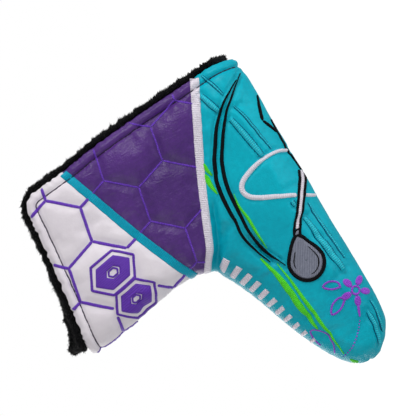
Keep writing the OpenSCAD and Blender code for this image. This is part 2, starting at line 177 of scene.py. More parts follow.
def edge_of(p, line):
    """Distance in from an edge line, direction inwards, and p kept from lying past the edge."""
    d, f, c = near_line(p, line)
    n = inward(line, f)
    past = ((p - c) * n).sum(-1) < 0.02
    n = np.where(past[..., None], n, (p - c) / np.maximum(d, 0.02)[..., None])
    return np.where(past, 0, d), n, np.where(past[..., None], c, p)


def inside(p, poly):
    x, z = p[..., 0], p[..., 1]
    hit = np.zeros(x.shape, bool)
    for (x0, z0), (x1, z1) in zip(poly, np.roll(poly, -1, axis=0)):
        if z0 != z1:
            hit ^= ((z0 > z) != (z1 > z)) & (x < (x1 - x0) * (z - z0) / (z1 - z0) + x0)
    return hit


def stretches(ok, least):
    """Start and end of each run of true values longer than least."""
    ends = np.flatnonzero(np.diff(np.concatenate([[0], ok.astype(int), [0]])))
    return [(a, b) for a, b in zip(ends[::2], ends[1::2]) if b - a > least]


def ramp(a, b, x):
    """Smooth step from 0 at a to 1 at b."""
    t = np.clip((x - a) / (b - a), 0, 1)
    return t * t * (3 - 2 * t)


def bell(d, width, power=2):
    """1 at a distance of 0, falling away over the width."""
    return np.exp(-(d / width) ** power)


def steps(length, mid, fine0, fine1, small):
    """Fractions 0 to 1, spaced small near the ends (over fine0 and fine1) and mid between."""
    s = np.linspace(0, length, 2000)
    h = mid + (small - mid) * np.maximum(1 - ramp(fine0 * 0.5, fine0 + 1e-3, s),
                                         ramp(length - fine1 - 1e-3, length - fine1 * 0.5, s))
    c = np.concatenate([[0], np.cumsum(0.5 / h[1:] + 0.5 / h[:-1])])
    return np.interp(np.linspace(0, c[-1], int(c[-1] * length / 2000) + 2), c, s / length)


# The closed side: the sole fold and the toe's underside, then the sewn edge over the toe, along
# the top line and up the inner edge of the neck.
sole_side = smooth(pts([96, 0], [78.4, 0], [60, 0], [30, 0], [0, 0], [-30, 0], [-50, 0], [-64, 1],
                       [-70, 3.4], [-75, 7], [-78.6, 11.4], [-80.1, 15.6], [-80.3, 18]))
sewn_side = smooth(pts([-80.3, 18], [-80, 20.6], [-78.6, 23.9], [-75.6, 27.8], [-71, 31.5],
                       [-63.5, 36], [-52, 41.4], [-40.5, 45.8], [-29, 49.8], [-17.5, 54.6],
                       [-11.7, 57.6], [-7.4, 60.8], [-4.8, 64.8], [-3.2, 70], [-2.9, 75],
                       [-3.6, 84.5], [-5.2, 96], [-7.8, 107.5], [-10.1, 119], [-11.8, 130],
                       [-14.6, 146]))
low_joint = smooth(pts([-4.7, 64.9], [4.9, 58], [13.8, 54], [25.3, 49], [42, 41.4], [60, 32.4],
                       [79.4, 22.6]))
top_joint = smooth(pts([-3.1, 70.5], [5.9, 74.7], [28.5, 84.1], [47.4, 90.9], [71.9, 99.6]))
heel_edge = smooth(pts([78.4, 0], [79.6, 8], [79.9, 16], [79.4, 22.6], [77.2, 57], [75.2, 80],
                       [72.6, 98], [71.3, 112], [70.6, 117.6], [69, 121], [66.4, 123]))
neck_end = smooth(pts([66.4, 123], [62, 123.9], [50, 124.8], [30, 126.9], [12.3, 129.1],
                      [-3, 130.9], [-11.9, 131]))
mouth = np.vstack([heel_edge, neck_end[1:]])
crease = smooth(pts([34, 40], [22, 45.8], [11.5, 50.3], [2.9, 54.4], [-4.6, 59.4], [-7.8, 62]))
fold = smooth(pts([14, 45.2], [8, 48.4], [1, 52], [-6, 56.6]))
MAGNET_AT = pts([58, 104])[0]
FACE = np.vstack([sole_side[sole_side[:, 0] < 78], sewn_side[sewn_side[:, 1] < 130.6],
                  neck_end[::-1], heel_edge[::-1]])

# Show-face embroidery: width, how thin the ends are, where it is widest, then its line.
SWEEPS = [(2.1, 0.25, 0.5, [68.6, 5.6], [65.5, 10.9], [61.4, 17.2], [54.7, 24.3], [47.5, 29.7],
           [40.4, 34.2], [33.5, 37.6], [26.9, 39.2], [19.9, 39.9], [11.9, 40.4], [3.9, 40.9],
           [-2, 39.9], [-8.5, 38], [-14.6, 35.6]),
          (2.0, 0.2, 0.5, [70.6, 2.2], [67.2, 6.2], [62.6, 11.9], [57.4, 17.6], [51.1, 22.9],
           [44.4, 27.7], [37, 32], [30.7, 34.2], [24.8, 35.6], [17.8, 36.3], [9.9, 37], [3.3, 37.2],
           [-2.2, 36.5], [-8.4, 35], [-14, 32.8], [-19.8, 30.2]),
          (1.9, 0.1, 0.4, [0, 37.5], [-5, 36.2], [-11, 34.4], [-16, 32.2])]
TOP_MARKS = [(1.7, 0.4, 0.8, [57.6, 0.9], [51.7, 2.8], [45.4, 4.4]),
             (1.5, 0.5, 0.3, [45.4, 4.4], [41.4, 2.6], [37.4, 1.3]),
             (1.0, 0.5, 0.5, [44.2, 0.5], [40.6, 0.8], [36.4, 1.1], [28.1, 1.4], [20.6, 0.8], [14.6, 0.6])]
LOOP = (2.5, 0.6, 0.45, [27.2, 1.2], [29.1, 6.2], [29.2, 14.2], [27.4, 22.4], [24.8, 27.9], [21.4, 30.1],
        [17.4, 28.8], [14.2, 24.4], [10.7, 17.2], [6.2, 8.2], [3, 2.6], [1.9, 0.7])
SHAFT = [[16, 0.4], [11.6, 2.5], [5.6, 6.6], [-1.6, 12.1], [-7.6, 16.9]]
STRIPES = [(1.0, 0.6, 0.5, [79.2, 19.2], [72.8, 17], [65, 14.8]),
           (2.7, 0.8, 0.6, [70.4, 24.2], [64.8, 22.3], [59.9, 20.7]),
           (1.0, 0.6, 0.5, [58.3, 13.1], [46.4, 10.4], [31.9, 7.8]),
           (2.8, 0.75, 0.6, [53.3, 17.6], [43.1, 15.6], [31.6, 13.4]),
           (1.0, 0.6, 0.5, [1, 5.4], [-13, 4.9], [-31, 4.2]),
           (3.3, 0.6, 0.6, [-4.6, 10.4], [-18.5, 9.5], [-34.8, 7.9]),
           (1.9, 0.7, 0.5, [5.4, 12.6], [4, 12.4], [2.6, 12.2]),
           (1.0, 0.6, 0.5, [-54.5, 3.6], [-62.5, 3.9], [-71, 5.9]),
           (2.2, 0.5, 0.3, [-58.6, 7.9], [-67, 8], [-75, 10.4])]

# Hexagon quilting lattice.
HEX_SIDE = 17.0
HEX_AT = pts([47.8, 71.9])[0]
HEX_TURN = 48.5


def ray(degrees):
    a = math.radians(degrees)
    return np.array([math.cos(a), math.sin(a)])


HEX_ARMS = [HEX_SIDE * ray(HEX_TURN + t) for t in (0, 120, 240)]
HEX_U = HEX_ARMS[0] - HEX_ARMS[1]
HEX_V = HEX_ARMS[0] - HEX_ARMS[2]


def hex_distance(p):
    """Distance to the nearest line of the hexagon lattice."""
    cell = np.round((p - HEX_AT) @ np.linalg.inv(np.array([HEX_U, HEX_V])))
    best = np.full(p.shape[:-1], 99.0)
    for i in (-1, 0, 1):
        for j in (-1, 0, 1):
            a = HEX_AT + (cell[..., :1] + i) * HEX_U + (cell[..., 1:] + j) * HEX_V
            for arm in HEX_ARMS:
                t = np.clip(((p - a) @ arm) / HEX_SIDE ** 2, 0, 1)
                best = np.minimum(best, np.linalg.norm(p - a - t[..., None] * arm, axis=-1))
    return best


# ---------------------------------------------------------------- the padded surface
def waves(seed, length, n=7):
    """Smooth random field of about the given wavelength, for points of any dimension."""
    r = np.random.default_rng(seed)
    k = r.normal(size=(n, 3))
    k *= (r.uniform(0.7, 1.4, n) / length * 2 * math.pi / np.linalg.norm(k, axis=1))[:, None]
    phase = r.uniform(0, 2 * math.pi, n)
    return lambda p: np.sin(p @ k[:, :p.shape[-1]].T + phase).sum(-1) / n * 1.6


class Raster:
    """Vectors on an even grid over the face, read back with bilinear interpolation."""
    def __init__(self, lo, hi, step):
        self.lo = np.array(lo)
        self.step = step
        axes = [np.arange(a, b, step) for a, b in zip(lo, hi)]
        self.p = np.stack(np.meshgrid(*axes, indexing="ij"), -1)
        self.v = np.zeros(self.p.shape[:2] + (3,))

    def read(self, p):
        g = np.clip((p - self.lo) / self.step, 0, np.array(self.v.shape[:2]) - 1.001)
        i = g.astype(int)
        a, b = (g - i)[..., :1], (g - i)[..., 1:]
        i, j = i[..., 0], i[..., 1]
        v = self.v
        return ((v[i, j] * (1 - a) + v[i + 1, j] * a) * (1 - b)
                + (v[i, j + 1] * (1 - a) + v[i + 1, j + 1] * a) * b)


def sunk_beside(p, h, line, half, deep):
    """Presses the leather down along both sides of an embroidered line."""
    lo, hi = line.min(0) - 5, line.max(0) + 5
    near = ((p > lo) & (p < hi)).all(-1)
    d = near_line(p[near], line)[0]
    h[near] -= deep * bell(d - half - 0.3, 0.8)


def on_neck(p):
    return p[..., 1] > np.interp(p[..., 0], low_joint[:, 0], low_joint[:, 1])


def relief(p, s):
    """Height of the sewn leather over the plain padded form, outwards positive."""
    edge, edge_at, _ = near_line(p, sewn_side)
    d_mouth = near_line(p, mouth)[0]
    # slow waves, the two sewn joints, and the pads of the quilting
    calm = ramp(1, 14, edge)
    h = 0.75 * waves(3, 60)(p + s * 9) * calm + 0.25 * waves(5, 19)(p + s * 5) * calm
    h -= bell(near_line(p, low_joint)[0], 2.9) + 0.9 * bell(near_line(p, top_joint)[0], 2.6)
    h += np.where(on_neck(p), 0.75 * (1 - bell(hex_distance(p), 2.8)) - 0.5, 0)
    # the padding thins out towards the mouth
    h -= 1.9 * bell(d_mouth, 9)
    # turned hem: a roll along the mouth with its stitch line sunk beside it
    h += 0.75 * bell(d_mouth - 2.1, 1.6)
    h -= bell(d_mouth - 4.5, 0.8) + 0.9 * bell(d_mouth, 0.9)
    # two folds beside the white band, deepest at the inside corner
    d, at, _ = near_line(p, crease)
    deep = (1.8 + 4.8 * at) * ramp(0, 0.4, at) * (0.25 + 0.75 * ramp(0, 6, edge))
    h -= deep * bell(d, 1.7 + 0.6 * at)
    d, at, _ = near_line(p, fold)
    h -= 1.3 * np.sin(math.pi * at ** 0.7) * bell(d, 1.5)
    # puckers along the sewn edge
    run = edge_at * arc(sewn_side)[-1]
    pucker = np.sin(run * 1.35 + 2.2 * np.sin(run * 0.23)) * bell(edge - 4, 4.5)
    h += 0.2 * pucker * (0.6 + 0.4 * np.sin(run * 0.11))
    # leather drawn down beside the embroidery, and lifted over the magnet
    if s < 0:
        for width, _, _, *line in SWEEPS + STRIPES:
            sunk_beside(p, h, smooth(pts(*line)), width / 2, 0.75 if width > 1.5 else 0.45)
        sunk_beside(p, h, smooth(pts(*LOOP[3:-4])), 1.2, 0.5)
    hump = bell(np.linalg.norm(p - MAGNET_AT, axis=-1), 11, 4)
    return h * (1 - 0.85 * hump) + 0.35 * hump


def scallops(p, s):
    """Sideways pull of the hem stitching, which leaves the edge of the mouth uneven."""
    d, at, _ = near_line(p, mouth)
    run = at * arc(mouth)[-1]
    way = unit(along(mouth, np.minimum(at + 0.005, 1)) - along(mouth, np.maximum(at - 0.005, 0)))
    pull = np.sin(run * 1.7 + 2.4 * np.sin(run * 0.29 + s)) * (0.7 + 0.5 * np.sin(run * 0.43))
    pull += 0.5 * np.sin(run * 0.77 + 2 * s)
    pull *= np.interp(at, [0, 0.1, 0.4, 0.55, 1], [0.05, 0.1, 0.2, 0.34, 0.36]) * bell(d, 3.2)
    return pull[..., None] * right_of(way)


SURFACE = {s: Raster((-86, -6), (92, 146), 0.5) for s in (-1, 1)}
for s, field in SURFACE.items():
    field.v[..., 1] = relief(field.p, s)
    field.v[..., [0, 2]] = scallops(field.p, s)


def bag(p, a, s, sewn=1.0):
    """Point of the layer lying a below the outer surface over the plane point p, in mm.
    The closed margins are quarter rounds, and the relief follows their direction."""
    p = np.asarray(p, float)
    a = np.broadcast_to(np.asarray(a, float), p.shape[:-1])
    d0, n0, p = edge_of(p, sole_side)
    d1, n1, p = edge_of(p, sewn_side)
    x = p[..., 0]
    margin = np.interp(x, [-80, -52, -36], [10.5, 11.5, 14.5])
    k0 = np.clip(1 - d0 / margin, 0, 1)
    k1 = np.clip(1 - d1 / margin, 0, 1)
    gap0 = SOLE_HALF * (1 - ramp(-50, -78, x))
    gap = (gap0 * k0 + 0.3 * k1 + 0.3e-3) / (k0 + k1 + 1e-3)
    lift = np.sqrt((1 - k0 ** 2) * (1 - k1 ** 2))
    half = HALF - 0.7 - 3.4 * ramp(-26, -80, x)
    y = gap + (half - a - gap) * lift
    shift = SURFACE[s].read(p) * sewn
    out = n0 * k0[..., None] + n1 * k1[..., None]
    out /= np.maximum(np.linalg.norm(out, axis=-1), 1)[..., None]
    q = p + out * (a - 0.8 * shift[..., 1])[..., None]
    y = y + shift[..., 1] * lift
    seam = 0.9 * bell(y - gap, 1.1) * (k1 > 0.4)
    q = q + n1 * seam[..., None] + shift[..., [0, 2]] * lift[..., None]
    y = np.maximum(y, gap * 0.7)
    return np.stack([q[..., 0], s * y, np.maximum(q[..., 1], 0)], -1)


def add_object(name, data):
    ob = bpy.data.objects.new(name, data)
    scene.collection.objects.link(ob)
    return ob


def slack():
    """Cloth over the show face, pinned along its seams and stitching and blown up a little.
    Its shift from rest, at most `most` mm, is added to the surface that both faces read."""
    scale = 0.01
    most = 2.2
    last_frame = 20
    coarse = Raster((-79, 0.6), (80, 131), 2.2)
    p = coarse.p
    ok = inside(p, FACE)
    index = np.cumsum(ok.ravel()).reshape(ok.shape) - 1
    full = ok[:-1, :-1] & ok[1:, :-1] & ok[:-1, 1:] & ok[1:, 1:]
    quads = np.stack([index[:-1, :-1], index[1:, :-1], index[1:, 1:], index[:-1, 1:]], -1)[full]
    flat = p[ok]
    rest = bag(flat, 0, -1) * scale
    me = bpy.data.meshes.new("slack")
    me.from_pydata(rest.tolist(), [], quads.tolist())
    ob = add_object("slack", me)
    hold = np.maximum.reduce([
        1 - ramp(1.5, 6, near_line(flat, np.vstack([sole_side, sewn_side]))[0]),
        1 - ramp(1.0, 4, near_line(flat, low_joint)[0]),
        1 - ramp(1.0, 4, near_line(flat, top_joint)[0]),
        0.9 * (1 - ramp(3, 7, near_line(flat, mouth)[0])),
        0.7 * (1 - ramp(0.6, 3, hex_distance(flat))) * on_neck(flat)])
    group = ob.vertex_groups.new(name="pin")
    for i, w in enumerate(hold):
        group.add([i], float(w), "REPLACE")
    cloth = ob.modifiers.new("Cloth", "CLOTH")
    cloth.settings.vertex_group_mass = "pin"
    cloth.settings.quality = 6
    cloth.settings.mass = 0.3
    cloth.settings.bending_stiffness = 0.4
    cloth.settings.shrink_min = -0.04
    cloth.settings.use_pressure = True
    cloth.settings.uniform_pressure_force = 4
    cloth.settings.effector_weights.gravity = 0
    cloth.point_cache.frame_start = 1
    cloth.point_cache.frame_end = last_frame
    for f in range(1, last_frame + 1):
        scene.frame_set(f)
    done = ob.evaluated_get(bpy.context.evaluated_depsgraph_get())
    now = np.array([v.co for v in done.data.vertices])
    move = (now - rest) / scale
    bpy.data.objects.remove(ob)
    scene.frame_set(1)
    far = np.linalg.norm(move, axis=1)
    move *= (np.minimum(far, most) / np.maximum(far, 1e-6))[:, None]
    coarse.v[ok] = move * [1, -1, 1]
    kernel = bell(np.linspace(-2, 2, 11), 1)
    kernel /= kernel.sum()
    fine = coarse.read(SURFACE[-1].p)
    for axis in (0, 1):
        fine = np.apply_along_axis(lambda m: np.convolve(m, kernel, "same"), axis, fine)
    for field in SURFACE.values():
        field.v += fine
    print("slack: mean", far.mean().round(3), "max", far.max().round(3))


slack()


def linear(rgb):
    """Linear colour with alpha from 0 to 255 display values."""
    c = np.array(rgb, float) / 255
    c = np.where(c <= 0.04045, c / 12.92, ((c + 0.055) / 1.055) ** 2.4)
    return (*map(float, c), 1.0)


class Shade:
    """A node material built step by step: add() makes a node and sets or links its inputs.
    The slot argument is not used."""
    def __init__(self, name, slot=None):
        self.material = bpy.data.materials.new(name)
        self.material.use_nodes = True
        self.tree = self.material.node_tree
        self.bsdf = self.tree.nodes["Principled BSDF"]
        self.place = self.add("TexCoord").outputs["Object"]

    def set(self, node, **inputs):
        for key, value in inputs.items():
            socket = node.inputs[int(key[1:]) if key[0] == "_" else key.replace("_", " ")]
            if isinstance(value, bpy.types.NodeSocket):
                self.tree.links.new(value, socket)
            else:
                socket.default_value = value
        return node

    def add(self, kind, props=None, **inputs):
        node = self.tree.nodes.new("ShaderNode" + kind)
        for key, value in (props or {}).items():
            setattr(node, key, value)
        return self.set(node, **inputs)

    def noise(self, scale, detail=3, stretch=None, turn=0):
        place = self.place
        if stretch:
            place = self.add("Mapping", Vector=place, Scale=stretch,
                             Rotation=(0, turn, 0)).outputs[0]
        return self.add("TexNoise", Vector=place, Scale=scale, Detail=detail).outputs["Fac"]

    def math(self, how, a, b):
        return self.add("Math", {"operation": how}, _0=a, _1=b).outputs[0]

    def span(self, value, lo, hi):
        return self.add("MapRange", Value=value, To_Min=lo, To_Max=hi).outputs[0]

    def tint(self, factor, dark, light):
        node = self.add("Mix", {"data_type": "RGBA"}, _0=factor, _6=linear(dark), _7=linear(light))
        return node.outputs[2]

    def bump(self, height, depth, strength, under=None):
        node = self.add("Bump", Height=height, Distance=depth, Strength=strength)
        if under:
            self.tree.links.new(under, node.inputs["Normal"])
        return node.outputs[0]


def leather(name, light, dark, grain, rough, coat, gloss):
    """Coated leather: fine pebble, slanting wrinkles, slow changes of colour and gloss."""
    m = Shade(name)
    tone = m.math("ADD", m.math("MULTIPLY", m.noise(26, 4), 0.7),
                  m.math("MULTIPLY", m.noise(420, 3), 0.3))
    pebble = m.add("TexVoronoi", Vector=m.place, Scale=1150.0).outputs["Distance"]
    wrinkle = m.noise(620, 4, (1, 1, 0.32), 0.7)
    skin = m.bump(pebble, 0.00016 * grain, 0.55)
    skin = m.bump(wrinkle, 0.00034 * grain, 0.8, skin)
    skin = m.bump(m.noise(95, 3), 0.0006, 0.5, skin)
    m.set(m.bsdf, Base_Color=m.tint(m.span(tone, -0.6, 1.6), dark, light),
          Roughness=m.span(m.noise(310, 4), rough - 0.12, rough + 0.12), Normal=skin,
          Coat_Weight=coat, Coat_Roughness=0.4, Specular_IOR_Level=gloss)
    return m.material


def satin(name, light, dark, pitch, sheen=0.0, gloss=0.3, slot=None):
    """Close satin stitching: threads run across the shape, read from its thread attribute. Its colour is
    painted darker between the threads and lighter on their crowns, as shade and highlight, over random
    tone.
    """
    m = Shade(name, slot)
    run = m.add("Attribute", {"attribute_name": "thread"}).outputs["Fac"]
    wobble = m.math("MULTIPLY", m.noise(900, 2), 0.35)
    wave = m.math("SINE", m.math("MULTIPLY", m.math("ADD", run, wobble), 2 * math.pi / pitch), 0)
    strand_relief_and_shade = m.span(wave, 0.0, 1.0)
    strand_relief_and_shade.node.inputs["From Min"].default_value = -1
    # painted shade between the threads and painted highlight on their crowns, mixed with random tone
    tone = m.math("ADD", m.math("MULTIPLY", strand_relief_and_shade, 0.45), m.math("MULTIPLY", m.noise(1300, 2), 0.7))
    thread = m.bump(strand_relief_and_shade, 0.00022, 0.8)
    thread = m.bump(m.noise(2600, 3), 0.00012, 0.6, thread)
    m.set(m.bsdf, Base_Color=m.tint(tone, dark, light), Roughness=m.span(m.noise(700, 2), 0.36, 0.58),
          Normal=thread, Sheen_Weight=sheen, Sheen_Roughness=0.35, Specular_IOR_Level=gloss)
    return m.material


def plush():
    """Black pile in clumps."""
    m = Shade("black_plush")
    clump = m.noise(520, 5)
    fuzz = m.bump(m.noise(2300, 3), 0.0005, 0.9)
    fuzz = m.bump(clump, 0.0012, 0.8, fuzz)
    m.set(m.bsdf, Base_Color=m.tint(m.span(clump, -0.5, 1.5), (2, 2, 3), (20, 20, 24)),
          Roughness=0.95, Normal=fuzz, Sheen_Weight=0.12, Sheen_Roughness=0.5,
          Specular_IOR_Level=0.1)
    return m.material


def foam():
    """Cream open-cell foam."""
    m = Shade("foam")
    cell = m.add("TexVoronoi", Vector=m.place, Scale=900.0).outputs["Distance"]
    m.set(m.bsdf, Base_Color=m.tint(cell, (196, 188, 160), (238, 232, 208)),
          Roughness=0.9, Normal=m.bump(cell, 0.0004, 0.8))
    return m.material


def steel():
    """Brushed plating of the magnets."""
    m = Shade("magnet_steel")
    brushed = m.noise(1500, 3, (1, 1, 0.05))
    m.set(m.bsdf, Base_Color=m.tint(brushed, (150, 152, 158), (205, 207, 212)),
          Metallic=1.0, Roughness=m.span(brushed, 0.2, 0.4), Normal=m.bump(brushed, 0.0001, 0.4))
    return m.material


TEAL = leather("teal_leather", (0, 190, 210), (0, 156, 178), 0.7, 0.46, 0.02, 0.16)
PURPLE = leather("purple_leather", (88, 42, 134), (58, 24, 98), 1.6, 0.4, 0.1, 0.42)
WHITE = leather("white_leather", (240, 234, 240), (228, 220, 228), 0.3, 0.5, 0.03, 0.25)
PLUSH = plush()
FOAM = foam()
STEEL = steel()
WHITE_SATIN = satin("white_satin", (244, 238, 247), (212, 204, 219), 0.9, 0.1)
TEAL_SATIN = satin("teal_satin", (0, 186, 216), (0, 116, 146), 0.9, 0.0, 0.16)
TONE_SATIN = satin("teal_stripe_satin", (30, 224, 240), (0, 132, 162), 1.0, 0.1, 0.4, "teal_satin")
# painted shadow: dark teal colour for the strips that show as shade along the stripes' edges
STRIPE_SHADOW = satin("teal_stripe_painted_shadow", (0, 112, 142), (0, 66, 96), 0.8, 0.0, 0.1, "teal_satin")
VIOLET = satin("violet_thread", (122, 70, 212), (78, 36, 150), 0.8, 0.2)
BADGE = satin("badge_thread", (110, 56, 194), (74, 34, 142), 0.9, 0.2, slot="violet_thread")
LILAC = satin("lilac_thread", (180, 84, 236), (120, 48, 184), 0.7, 0.2, slot="violet_thread")
HEM = satin("hem_thread", (52, 28, 74), (20, 10, 32), 0.8, 0.1, slot="black_thread")
BLACK = satin("black_thread", (14, 13, 17), (3, 3, 5), 0.8, 0.0, 0.1)
GREEN = satin("green_thread", (96, 242, 40), (58, 204, 34), 0.8, 0.15)
GREY = satin("grey_thread", (146, 150, 168), (92, 96, 112), 0.8, 0.2)


# ---------------------------------------------------------------- mesh building
def ordered_border(nr, nc):
    """Border vertices of an nr x nc grid as one loop, in the sense of its faces."""
    ids = np.arange(nr * nc).reshape(nr, nc)
    return np.concatenate([ids[0, :-1], ids[:-1, -1], ids[-1, :0:-1], ids[:0:-1, 0]])


def outward(grid, sides):
    """Unit direction off the open sides of a grid of points, zero elsewhere."""
    d = np.zeros(grid.shape)
    if "i0" in sides:
        d[0] += grid[0] - grid[1]
    if "i1" in sides:
        d[-1] += grid[-1] - grid[-2]
    if "j1" in sides:
        d[:, -1] += grid[:, -1] - grid[:, -2]
    size = np.linalg.norm(d, axis=-1, keepdims=True)
    return np.where(size > 1e-9, d / np.maximum(size, 1e-9), 0)


def slab(outer, inner, sides=(), bulge=0.5):
    """Closed solid between two grids. Its open sides end in a rounded rim."""
    rounds = 5
    nr, nc = outer.shape[:2]
    border = ordered_border(nr, nc)
    way = outward(outer, sides).reshape(-1, 3)[border]
    o, i = outer.reshape(-1, 3)[border], inner.reshape(-1, 3)[border]
    thick = np.linalg.norm(i - o, axis=1)[:, None]
    loops = [(o + i) / 2 + (o - i) / 2 * math.cos(t) + way * math.sin(t) * np.minimum(bulge, thick / 2)
             for t in np.linspace(0, math.pi, rounds + 2)[1:-1]]
    n, b = nr * nc, len(border)
    grid = np.arange(n).reshape(nr, nc)
    quads = np.stack([grid[:-1, :-1], grid[:-1, 1:], grid[1:, 1:], grid[1:, :-1]], -1).reshape(-1, 4)
    faces = [quads, quads[:, ::-1] + n]
    rings = [border] + [2 * n + k * b + np.arange(b) for k in range(rounds)] + [border + n]
    for p, q in zip(rings[:-1], rings[1:]):
        faces.append(np.stack([np.roll(p, -1), p, q, np.roll(q, -1)], -1))
    return np.vstack([outer.reshape(-1, 3), inner.reshape(-1, 3)] + loops), np.vstack(faces).tolist()


def swept(p, closed):
    """Closed solid from stations of closed cross-sections; closed joins the last to the first."""
    n, m = p.shape[:2]
    ids = np.arange(n * m).reshape(n, m)
    a, b = (ids, np.roll(ids, -1, axis=0)) if closed else (ids[:-1], ids[1:])
    faces = np.stack([a, np.roll(a, -1, axis=1), np.roll(b, -1, axis=1), b], -1).reshape(-1, 4).tolist()
    if not closed:
        faces += [ids[0, ::-1].tolist(), ids[-1].tolist()]
    return p.reshape(-1, 3), faces


def volume(v, faces):
    """Positive where the faces point outwards."""
    q = np.array([f[:4] if len(f) > 3 else f[:3] + f[2:3] for f in faces])
    a, b, c, d = (v[q[:, k]] for k in range(4))
    return (np.einsum("ij,ij->i", a, np.cross(b, c)) + np.einsum("ij,ij->i", a, np.cross(c, d))).sum()


def make_piece(name, material, parts, nodes, bends=None, sharp=None):
    """One visible piece from parts of (points, faces, thread run), in place of the CAD nodes.
    The satin reads the thread run. A piece rides on the pocket unless its face is given as bends; then it
    is left on its own with its placing applied."""
    points, faces, threads = [], [], []
    for v, f, *thread in parts:
        n = sum(map(len, points))
        f = f if volume(v - v.mean(0), f) > 0 else [q[::-1] for q in f]
        points.append(v)
        faces += [[k + n for k in q] for q in f]
        threads.append(thread[0] if thread else np.zeros(len(v)))
    me = bpy.data.meshes.new(name)
    v = np.vstack(points) * MM
    v[:, 2] = np.maximum(v[:, 2], CAD_BOX[0][2])
    me.from_pydata(v.tolist(), [], faces)
    me.polygons.foreach_set("use_smooth", [True] * len(me.polygons))
    if sharp:
        me.set_sharp_from_angle(angle=math.radians(sharp))
    me.attributes.new("thread", "FLOAT", "POINT").data.foreach_set("value", np.concatenate(threads))
    me.materials.append(material)
    ob = add_object(name, me)
    if nodes:
        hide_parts(*nodes)
    if bends is None:
        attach(ob, "pocket")
    else:
        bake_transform(ob)


def coons(bottom, top, left, right, u, v):
    """Grid over the patch between four polylines, u along bottom and top, v up the sides."""
    b, t, l, r = along(bottom, u), along(top, u), along(left, v), along(right, v)
    u, v = u[:, None, None], v[None, :, None]
    corner = ((1 - u) * (1 - v) * b[0] + u * (1 - v) * b[-1] + (1 - u) * v * t[0] + u * v * t[-1])
    return (1 - v) * b[:, None] + v * t[:, None] + (1 - u) * l[None] + u * r[None] - corner


def hem_depth(p):
    """Depth of the leather's inner side: one ply, growing to the turned hem at the mouth."""
    return LEATHER + (PAD_LOW - LEATHER) * (1 - ramp(3.5, 8, near_line(p, mouth)[0]))


# ---------------------------------------------------------------- leather, foam and plush
TOE_ROUND = -75
SHARP = 60


def pocket_grid(reach, pitch, rows, toe=TOE_ROUND):
    """Plane grid of the pocket: columns from the heel to the toe, rows from sole to top.
    Only the leather, which reaches the toe, is rounded off there."""
    heel = HEEL_X + reach
    x = heel - (heel - toe) * steps(heel - toe, pitch, 9, 0, pitch * 0.5)
    top_line = sewn_side[(sewn_side[:, 0] < low_joint[0, 0]) & (sewn_side[:, 1] < low_joint[0, 1])]
    upper_line = np.vstack([top_line, low_joint])
    upper_line = upper_line[np.argsort(upper_line[:, 0])]
    top_z = np.interp(x, upper_line[:, 0], upper_line[:, 1])
    low_z = np.interp(-x, -sole_side[:, 0], sole_side[:, 1])
    tip = np.sin(np.linspace(0, math.pi / 2, 12))[1:-1]
    low_tip = along(part_of(sole_side, [x[-1], low_z[-1]], sole_side[-1]), tip)
    top_tip = along(part_of(sewn_side, [x[-1], top_z[-1]], sewn_side[0]), tip)
    low, top = np.stack([x, low_z], -1), np.stack([x, top_z], -1)
    if toe == TOE_ROUND:
        low, top = np.vstack([low, low_tip]), np.vstack([top, top_tip])
    w = np.linspace(0, 1, rows)
    v = 0.45 * w + 0.55 * (0.5 - 0.5 * np.cos(math.pi * w))
    grid = low[:, None] * (1 - v[None, :, None]) + top[:, None] * v[None, :, None]
    # the heel edge is not quite upright
    lean = np.interp(grid[0, :, 1], heel_edge[:, 1], heel_edge[:, 0]) + reach - grid[0, :, 0]
    grid[..., 0] += lean[None, :] * (1 - ramp(heel, heel - 25, grid[..., 0]))
    return grid


def folded(grid, depth):
    """The layer at the given depth, down the show face, round the sole and up the back face."""
    front = bag(grid, depth, -1)[:, ::-1]
    back = bag(grid, depth, 1)
    f = np.linspace(0, 1, 7)[1:-1][None, :, None]
    across = front[:, -1:] * (1 - f) + back[:, :1] * f
    return np.concatenate([front, across, back], axis=1)


def teal_pocket():
    grid = pocket_grid(0, 0.8, 84)
    skin = slab(folded(grid, 0), folded(grid, hem_depth(grid)), ("i0",))
    make_piece("teal_pocket_leather", TEAL, [skin], ["teal_shell"], sharp=SHARP)
    grid = pocket_grid(-9, 2.0, 40, -64)
    low = PAD_TOP + 1.9 * bell(near_line(grid, crease)[0], 7, 4)
    pad = slab(folded(grid, low), folded(grid, PAD_LOW + 0.2))
    make_piece("pocket_foam", FOAM, [pad], ["padding_bag"])


inner_low = near_line(low_joint[:1], sewn_side)[2][0]
inner_top = near_line(top_joint[:1], sewn_side)[2][0]
heel_low = near_line(low_joint[-1:], heel_edge)[2][0]
heel_top = near_line(top_joint[-1:], heel_edge)[2][0]
neck_top = near_line(neck_end[-1:], sewn_side)[2][0]


def panel(s, colour, material, grid, open_sides):
    """One leather panel of the neck on one face."""
    skin = slab(bag(grid, 0, s), bag(grid, hem_depth(grid), s), open_sides)
    face = FACE_NAME[s]
    make_piece(f"{face}_{colour}_leather", material, [skin],
               [f"{face}_{colour}_panel", f"{face}_flap_{colour}"], s, SHARP)


def neck_leather(s):
    grid = coons(low_joint, top_joint, part_of(sewn_side, inner_low, inner_top),
                 part_of(heel_edge, heel_low, heel_top),
                 steps(92, 0.85, 8, 9, 0.45), steps(77, 0.85, 4, 4, 0.6))
    panel(s, "purple", PURPLE, grid, ("i1",))
    grid = coons(top_joint, neck_end[::-1], part_of(sewn_side, inner_top, neck_top),
                 part_of(heel_edge, heel_top, heel_edge[-1]),
                 steps(80, 0.9, 8, 9, 0.5), steps(45, 0.8, 4, 9, 0.45))
    panel(s, "white", WHITE, grid, ("i1", "j1"))


